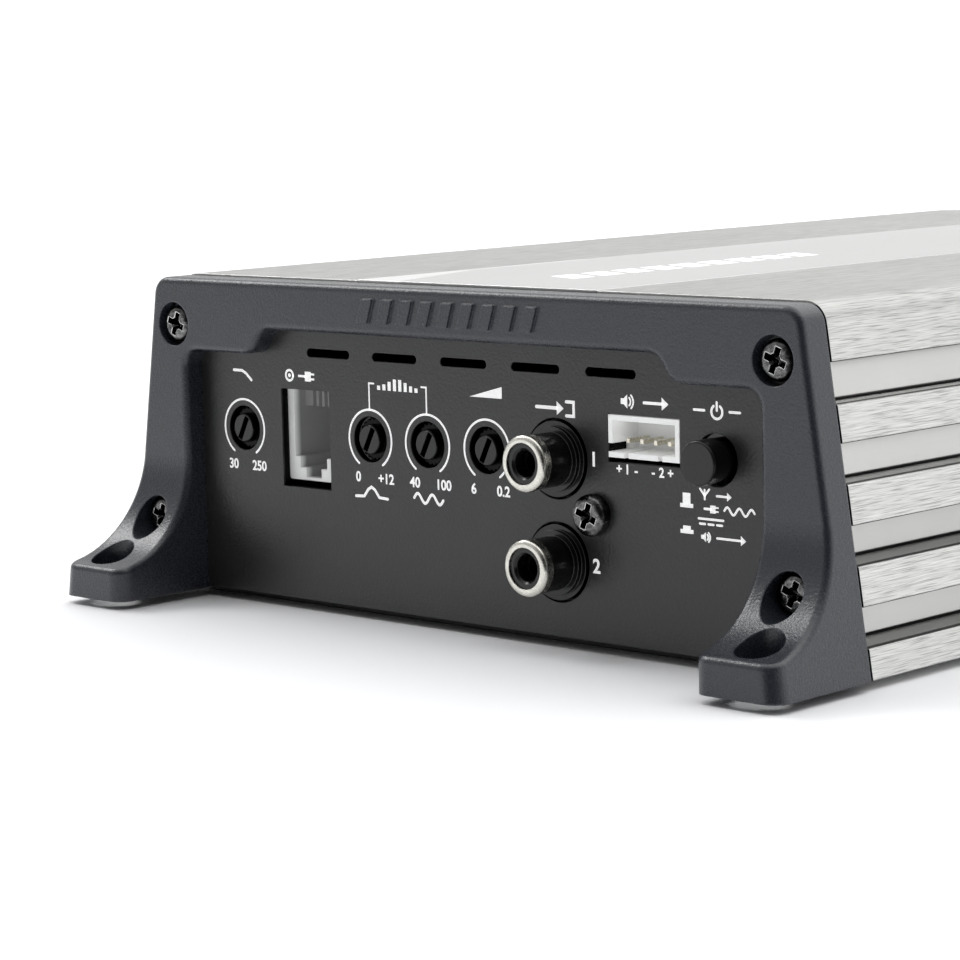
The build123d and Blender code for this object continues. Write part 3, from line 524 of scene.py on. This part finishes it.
def plastics():
    """Sockets, knobs, boards and the parts on them."""
    face = corners_mm("front_panel")[0].y
    jack = corners_mm("remote_jack_housing")[0].y
    header = corners_mm("hi_input_header")[0].y
    return {
        # black plastic: painted highlight on edges, painted shade behind the panel's face
        "black_plastic": moulded_plastic("black_plastic", grey(0.005), grey(0.008), 0.2, depth_mm=0.002,
                                         hollow_shade=HollowShade(face - 0.28, 0.1, 0.14, 0.42), edge=grey(0.06)),
        # white and socket plastic: painted glow, and painted shade inside the header and the jack
        "white_plastic": moulded_plastic("white_plastic", rgb(0.88, 0.89, 0.88), rgb(0.93, 0.94, 0.93),
                                         0.35, glow=0.2, hollow_shade=HollowShade(header + 0.5, 4.0, 0.85, 0.5)),
        "socket_plastic": moulded_plastic("socket_plastic", rgb(0.78, 0.79, 0.78), rgb(0.86, 0.87, 0.86),
                                          0.4, glow=0.12, hollow_shade=HollowShade(jack + 0.3, 1.0, 0.3, 0.5)),
        "circuit_board": circuit_board(),
        "insulation": moulded_plastic("insulation", rgb(0.55, 0.52, 0.40), rgb(0.65, 0.62, 0.50), 0.6),
        "ferrite": moulded_plastic("ferrite", grey(0.05), grey(0.08), 0.6,
                                   grain_per_mm=2.0, depth_mm=0.03),
        "capacitor_sleeve": moulded_plastic("capacitor_sleeve", rgb(0.01, 0.012, 0.03),
                                            rgb(0.02, 0.022, 0.05), 0.25),
        "silicone": moulded_plastic("silicone", grey(0.25), grey(0.32), 0.7),
        "fuse_plastic": lens("fuse_plastic", rgb(0.02, 0.35, 0.08), rgb(0.04, 0.48, 0.12)),
        "led_lens": lens("led_lens", rgb(0.05, 0.40, 0.12), rgb(0.10, 0.60, 0.22)),
    }


def paint_nodes(materials):
    for part in frame["record"]["subparts"]:
        mesh = nodes[part["node"]].data
        mesh.materials.clear()
        mesh.materials.append(materials[part["material_slot"]])
    # the jack housing takes plastic with painted shade inside; the round sockets' contacts take the black painted
    # shade
    nodes["remote_jack_housing"].data.materials[0] = materials["socket_plastic"]
    nodes["rca_contacts"].data.materials[0] = materials["painted_shade_sleeve"]


# ------------------------------------------------------------------ printed signs

class Sheet:
    """Flat printed shapes. Places are in millimetres from the sheet's origin, and place() turns them
    into X, Y, Z."""

    def __init__(self, name, place):
        self.name = name
        self.place = place
        self.origin = (0.0, 0.0)
        self.mesh = bmesh.new()

    def corners(self, points, lift):
        x, z = self.origin
        return [self.mesh.verts.new(Vector(self.place(x + u, z + v, lift)) * MM) for u, v in points]

    def polygon(self, points):
        front = self.corners(points, INK_THICKNESS)
        back = self.corners(points, 0.0)
        self.mesh.faces.new(front)
        self.mesh.faces.new(back[::-1])
        for i in range(len(points)):
            j = (i + 1) % len(points)
            self.mesh.faces.new((front[j], front[i], back[i], back[j]))

    def box(self, x, z, width, height):
        w, h = width / 2, height / 2
        self.polygon([(x - w, z - h), (x + w, z - h), (x + w, z + h), (x - w, z + h)])

    def disc(self, x, z, r, steps=20):
        self.polygon([(x + r * math.cos(a), z + r * math.sin(a))
                      for a in (math.tau * i / steps for i in range(steps))])

    def line(self, points, width=STROKE):
        """Ribbon through the points, with mitred corners and round ends."""
        vectors = [Vector(p) for p in points]
        left, right = self.sides(vectors, width)
        for i in range(len(vectors) - 1):
            self.polygon([right[i], right[i + 1], left[i + 1], left[i]])
        self.cap(vectors[-1], vectors[-1] - vectors[-2], width)
        self.cap(vectors[0], vectors[0] - vectors[1], width)

    def sides(self, vectors, width):
        """Left and right edge points of a ribbon."""
        left, right = [], []
        last = len(vectors) - 1
        for i, point in enumerate(vectors):
            before = (point - vectors[i - 1]).normalized() if i else (vectors[1] - point).normalized()
            after = (vectors[i + 1] - point).normalized() if i < last else before
            along = (before + after).normalized()
            across = Vector((-along.y, along.x)) * (width / 2) / max(0.5, along.dot(after))
            left.append(point + across)
            right.append(point - across)
        return left, right

    def cap(self, centre, outward, width, steps=8):
        """Half disc at a ribbon's end."""
        base = math.atan2(outward.y, outward.x) - math.pi / 2
        self.polygon([(centre.x + width / 2 * math.cos(base + math.pi * i / steps),
                       centre.y + width / 2 * math.sin(base + math.pi * i / steps))
                      for i in range(steps + 1)])

    def arc(self, x, z, r, start, end, width=STROKE):
        steps = max(6, int(abs(end - start) / 5))
        angles = [math.radians(start + (end - start) * i / steps) for i in range(steps + 1)]
        self.line([(x + r * math.cos(a), z + r * math.sin(a)) for a in angles], width)

    def digits(self, text, x, z, height):
        """Plain numbers and signs from Blender's own font."""
        curve = bpy.data.curves.new("digits", "FONT")
        curve.body = text
        curve.size = height / DIGIT_SHARE
        curve.align_x = "CENTER"
        curve.offset = height * DIGIT_WEIGHT
        curve.resolution_u = 4
        holder = bpy.data.objects.new("digits", curve)
        bpy.context.scene.collection.objects.link(holder)
        bpy.context.view_layer.update()
        flat = bpy.data.meshes.new_from_object(holder.evaluated_get(bpy.context.evaluated_depsgraph_get()))
        for face in flat.polygons:
            corners = [flat.vertices[i].co for i in face.vertices]
            self.polygon([(x + c.x, z - height / 2 + c.y) for c in corners])
        bpy.data.objects.remove(holder)
        bpy.data.curves.remove(curve)
        bpy.data.meshes.remove(flat)

    def build(self, material, body):
        mesh = bpy.data.meshes.new(self.name)
        bmesh.ops.recalc_face_normals(self.mesh, faces=self.mesh.faces)
        self.mesh.to_mesh(mesh)
        self.mesh.free()
        mesh.materials.append(material)
        piece = bpy.data.objects.new(self.name, mesh)
        bpy.context.scene.collection.objects.link(piece)
        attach(piece, body)


def middle_mm(node):
    """Centre of a node across and up the panel, in millimetres."""
    low, high = corners_mm(node)
    return (low.x + high.x) / 2, (low.z + high.z) / 2 - COVER_T


def knob_places():
    """Centre of each trimmer across and up the panel, in millimetres, from the joints."""
    places = {}
    for joint in frame["joints"]:
        if joint["type"] == "hinge":
            x, _, z = (value / MM for value in joint["pos_m"])
            places[joint["name"]] = (x, z - COVER_T)
    return places


def wave(x, z, width, height, cycles, phase=0.0, steps=28):
    return [(x - width / 2 + width * i / steps,
             z + height / 2 * math.sin(math.tau * cycles * i / steps + phase)) for i in range(steps + 1)]


def speaker_sign(sheet, x, z, size):
    sheet.box(x - 0.62 * size, z, 0.5 * size, 0.7 * size)
    sheet.polygon([(x - 0.4 * size, z - 0.35 * size), (x + 0.15 * size, z - 0.85 * size),
                   (x + 0.15 * size, z + 0.85 * size), (x - 0.4 * size, z + 0.35 * size)])
    for radius in (0.62, 1.05):
        sheet.arc(x + 0.05 * size, z, radius * size, -48, 48, 0.26)


def arrow_sign(sheet, x, z, length, head, width=BOLD):
    tip = x + length / 2
    sheet.line([(x - length / 2, z), (tip - head, z)], width)
    sheet.polygon([(tip - head, z - head * 0.75), (tip, z), (tip - head, z + head * 0.75)])


def plug_sign(sheet, x, z, size):
    sheet.box(x, z, 1.3 * size, 1.5 * size)
    for dz in (-0.38, 0.38):
        sheet.box(x + 1.0 * size, z + dz * size, 0.8 * size, 0.3 * size)
    sheet.line([(x - 0.6 * size, z), (x - 2.0 * size, z)])


def dial_signs(sheet, knobs):
    """Open ring round each trimmer, with a number at each end of its travel."""
    for name, place in knobs.items():
        low, high = TRAVEL_NUMBERS[name]
        sheet.origin = place
        sheet.arc(0, 0, RING_RADIUS, RING_START, RING_END, FINE)
        sheet.digits(low, -2.75, -5.75, 1.5)
        sheet.digits(high, 3.15, -5.75, 1.5)


def tone_signs(sheet, knobs):
    """Signs that say what each trimmer does: falling slope, hump, wave and wedge."""
    sheet.origin = knobs["lowpass_turn"]
    sheet.line([(-2.1, SIGN_HEIGHT + 0.5), (-0.2, SIGN_HEIGHT + 0.5), (0.7, SIGN_HEIGHT + 0.1),
                (1.9, SIGN_HEIGHT - 0.9)], BOLD)
    sheet.origin = knobs["boost_turn"]
    sheet.line([(-3.4, -8.8), (-1.6, -8.7), (-0.7, -7.6), (0, -7.2), (0.7, -7.6), (1.6, -8.7),
                (3.4, -8.8)], BOLD)
    sheet.origin = knobs["frequency_turn"]
    sheet.line(wave(0, -8.1, 6.0, 1.4, 2.0), BOLD)
    sheet.origin = knobs["level_turn"]
    sheet.polygon([(-3.2, SIGN_HEIGHT - 0.8), (3.2, SIGN_HEIGHT - 0.8), (3.2, SIGN_HEIGHT + 0.9)])


def spectrum_sign(sheet, left, right, bars=8, pitch=1.12):
    """Bracket over two trimmers, with a row of bars in its gap."""
    for knob, way in ((left, 1), (right, -1)):
        sheet.origin = knob
        sheet.line([(0, RING_RADIUS), (0, SIGN_HEIGHT), (way, SIGN_HEIGHT)], 0.26)
    sheet.origin = ((left[0] + right[0]) / 2, left[1])
    for i in range(bars):
        place = i - (bars - 1) / 2
        height = 0.55 + 1.25 * math.exp(-(place / 2.2) ** 2)
        sheet.box(place * pitch, SIGN_HEIGHT - 0.9 + height / 2, 0.62, height)


def jack_sign(sheet):
    """Ring and plug over the jack."""
    x, z = middle_mm("remote_jack_housing")
    sheet.origin = (x, z + 8.42)
    sheet.arc(-3.1, 0, 0.8, 0, 360)
    sheet.disc(-3.1, 0, 0.3)
    plug_sign(sheet, 1.0, 0, 1.0)


def rca_signs(sheet):
    """Arrow into a socket over the round sockets, and a number beside each."""
    x, z = middle_mm("rca_shells")
    sheet.origin = (x, z)
    arrow_sign(sheet, -1.1, 14.67, 5.2, 1.3, 0.5)
    sheet.line([(2.0, 13.67), (3.4, 13.67), (3.4, 15.67), (2.0, 15.67)], 0.45)
    sheet.digits("1", 7.0, 7.87, 2.0)
    sheet.digits("2", 7.2, -7.33, 2.0)


def header_signs(sheet):
    """Speaker and arrow over the header, and the pins' marks under it."""
    sheet.origin = middle_mm("hi_input_header")
    speaker_sign(sheet, -3.02, 5.0, 1.15)
    arrow_sign(sheet, 2.38, 5.0, 4.4, 1.2)
    for x, mark in ((-4.52, "+"), (-3.02, "1"), (-1.42, "-"), (1.68, "-"), (3.18, "2"), (4.78, "+")):
        sheet.digits(mark, x, -4.5, 1.35)


def power_sign(sheet):
    """Broken ring with a stroke, and a dash on either side, over the button."""
    x, z = middle_mm("turn_on_button")
    sheet.origin = (x + 0.2, z + 6.6)
    sheet.arc(0, 0, 0.95, 125, 415)
    sheet.line([(0, 0.2), (0, 1.3)])
    for way in (-1, 1):
        sheet.line([(2.2 * way, 0.1), (4.0 * way, 0.1)])


def button_signs(sheet):
    """Button-out and button-in pictograms under the button, with what each position selects."""
    sheet.origin = middle_mm("turn_on_button")
    for z, height in ((-6.6, 1.5), (-10.2, 0.55)):
        sheet.box(-5.3, z, 2.3, 0.55)
        sheet.box(-5.3, z + 0.25 + height / 2, 1.35, height)
    sheet.line([(-2.1, -5.5), (-2.1, -4.2)], 0.3)
    sheet.line([(-2.9, -4.1), (-2.1, -5.0), (-1.3, -4.1)], 0.3)
    arrow_sign(sheet, 1.3, -4.9, 2.6, 0.8, FINE)
    plug_sign(sheet, -0.7, -6.8, 0.72)
    sheet.line(wave(3.9, -6.8, 5.2, 1.0, 2.5), FINE)
    sheet.line([(-3.2, -8.2), (1.1, -8.2)], FINE)
    for i in range(3):
        sheet.line([(-3.0 + i * 1.5, -8.9), (-2.1 + i * 1.5, -8.9)], FINE)
    speaker_sign(sheet, -2.1, -10.7, 0.8)
    arrow_sign(sheet, 2.5, -10.7, 5.0, 0.9, FINE)


def panel_signs(ink):
    face = corners_mm("front_panel")[0].y
    sheet = Sheet("panel_signs", lambda u, v, lift: (u, face - lift, v + COVER_T))
    knobs = knob_places()
    dial_signs(sheet, knobs)
    tone_signs(sheet, knobs)
    spectrum_sign(sheet, knobs["boost_turn"], knobs["frequency_turn"])
    jack_sign(sheet)
    rca_signs(sheet)
    header_signs(sheet)
    power_sign(sheet)
    button_signs(sheet)
    sheet.build(ink, "chassis")


def badge_marks(ink, bars=9, pitch=6.85, width=4.9, slant=2.3):
    """Row of plain slanted bars printed along the polished strip."""
    low, high = corners_mm("top_badge_strip")
    sheet = Sheet("badge_marks", lambda u, v, lift: (u, v, high.z + lift))
    left, right = -1.0, 5.6
    for i in range(bars):
        sheet.origin = (0.0, low.y + 18.0 + i * pitch)
        sheet.polygon([(left, 0), (left, width), (right, width - slant), (right, -slant)])
    sheet.build(ink, "chassis")


# ------------------------------------------------------------------ floor, light, camera

def add_floor():
    mesh = bpy.data.meshes.new("studio_floor")
    grid = bmesh.new()
    bmesh.ops.create_circle(grid, cap_ends=True, segments=64, radius=FLOOR_RADIUS)
    bmesh.ops.translate(grid, verts=grid.verts, vec=(0, 0, cad_bounds[0][2] - FLOOR_GAP))
    grid.to_mesh(mesh)
    grid.free()
    floor = bpy.data.objects.new("studio_floor", mesh)
    bpy.context.scene.collection.objects.link(floor)
    mesh.materials.append(floor_material())


def floor_material():
    """White floor, brighter far away. Reflections find it dark towards the camera, like an unlit room."""
    p = Paint("studio_floor", Roughness=0.6, Emission_Color=grey(1.0))
    rays = p.add("ShaderNodeLightPath").outputs
    color = p.mix(p.noise(0.004, 2.0), rgb(0.96, 0.97, 0.985), rgb(0.975, 0.98, 0.995))
    p.feed(p.bsdf.inputs["Base Color"], color)
    far = p.spread(p.vector("DOT_PRODUCT", p.mm, p.mm), 500.0 ** 2, 1500.0 ** 2, 0.0, 0.5)
    p.feed(p.bsdf.inputs["Emission Strength"], p.product(far, rays["Is Camera Ray"]))
    low, _ = cad_bounds
    corner = Vector((-low[0] * 0.95, low[1] * 1.02, 0.0)) / MM
    from_corner = p.vector("NORMALIZE", p.vector("SUBTRACT", p.mm, tuple(corner)))
    back = view_axes()[2]
    toward = p.vector("DOT_PRODUCT", from_corner, tuple(Vector((back.x, back.y, 0.0)).normalized()))
    unlit = p.add("ShaderNodeEmission")
    unlit.inputs["Strength"].default_value = 0.0
    share = p.product(rays["Is Glossy Ray"], p.spread(toward, 0.55, 0.9, 0.0, 0.95))
    surface = p.mix_shader(share, p.bsdf.outputs[0], unlit.outputs[0])
    p.feed(p.tree.nodes["Material Output"].inputs["Surface"], surface)
    return p.material


def background(p, strength):
    node = p.add("ShaderNodeBackground")
    node.inputs["Color"].default_value = grey(1.0)
    p.feed(node.inputs["Strength"], strength)
    return node.outputs[0]


def add_world():
    """White studio: plain white to the camera, dark round the camera for reflections."""
    world = bpy.data.worlds.new("studio")
    bpy.context.scene.world = world
    world.use_nodes = True
    world.node_tree.nodes.clear()
    p = Nodes(world.node_tree)
    direction = p.add("ShaderNodeTexCoord").outputs["Generated"]
    _, across, up = p.separate(direction)
    toward = p.vector("DOT_PRODUCT", direction, tuple(view_axes()[2]))
    right_back = p.vector("DOT_PRODUCT", direction, (0.68, 0.70, 0.2))
    level = p.math("ADD", p.spread(up, 0.0, 0.9, 0.85, 0.95), p.spread(right_back, 0.3, 0.95, 0.0, 0.35))
    gap = p.spread(toward, 0.35, 0.90, 1.0, 0.02)
    front = p.spread(across, -0.8, 0.2, 0.6, 1.0)
    to_camera = p.add("ShaderNodeLightPath").outputs["Is Camera Ray"]
    studio = p.mix_shader(to_camera, background(p, p.product(level, gap, front)), background(p, 1.1))
    p.feed(p.add("ShaderNodeOutputWorld").inputs["Surface"], studio)


def softbox(name, place, target, side, power):
    """Square area light."""
    light = bpy.data.lights.new(name, "AREA")
    light.shape = "RECTANGLE"
    light.size = side
    light.size_y = side
    light.energy = power
    holder = bpy.data.objects.new(name, light)
    holder.location = place
    holder.rotation_euler = (Vector(target) - Vector(place)).to_track_quat("-Z", "Y").to_euler()
    bpy.context.scene.collection.objects.link(holder)


def add_lights():
    softbox("top", (0.0, 0.7, 1.7), (0.0, 0.5, 0.0), 3.0, 30.0)
    softbox("key_left", (-1.0, -0.2, 0.95), (0.0, 0.0, 0.02), 0.5, 5.0)


def view_axes():
    """Right, up and backward directions of the camera."""
    azimuth, elevation, roll = (math.radians(v) for v in (VIEW_AZIMUTH, VIEW_ELEVATION, VIEW_ROLL))
    level = math.cos(elevation)
    back = Vector((math.sin(azimuth) * level, -math.cos(azimuth) * level, math.sin(elevation)))
    right = Vector((math.cos(azimuth), math.sin(azimuth), 0.0))
    up = back.cross(right)
    return (right * math.cos(roll) + up * math.sin(roll),
            up * math.cos(roll) - right * math.sin(roll), back)


def add_camera():
    data = bpy.data.cameras.new("camera")
    data.lens = VIEW_LENS
    data.sensor_width = 36.0
    data.clip_start = 0.01
    data.clip_end = 50.0
    camera = bpy.data.objects.new("camera", data)
    turn = Matrix(view_axes()).transposed().to_4x4()
    camera.matrix_world = Matrix.Translation(VIEW_POINT) @ turn
    bpy.context.scene.collection.objects.link(camera)
    bpy.context.scene.camera = camera


def build():
    ink = screen_ink()
    paint_nodes(paints() | metals() | plastics())
    panel_signs(ink)
    badge_marks(ink)
    add_floor()
    add_world()
    add_lights()
    add_camera()
    bpy.context.scene.view_settings.view_transform = "Standard"


build()
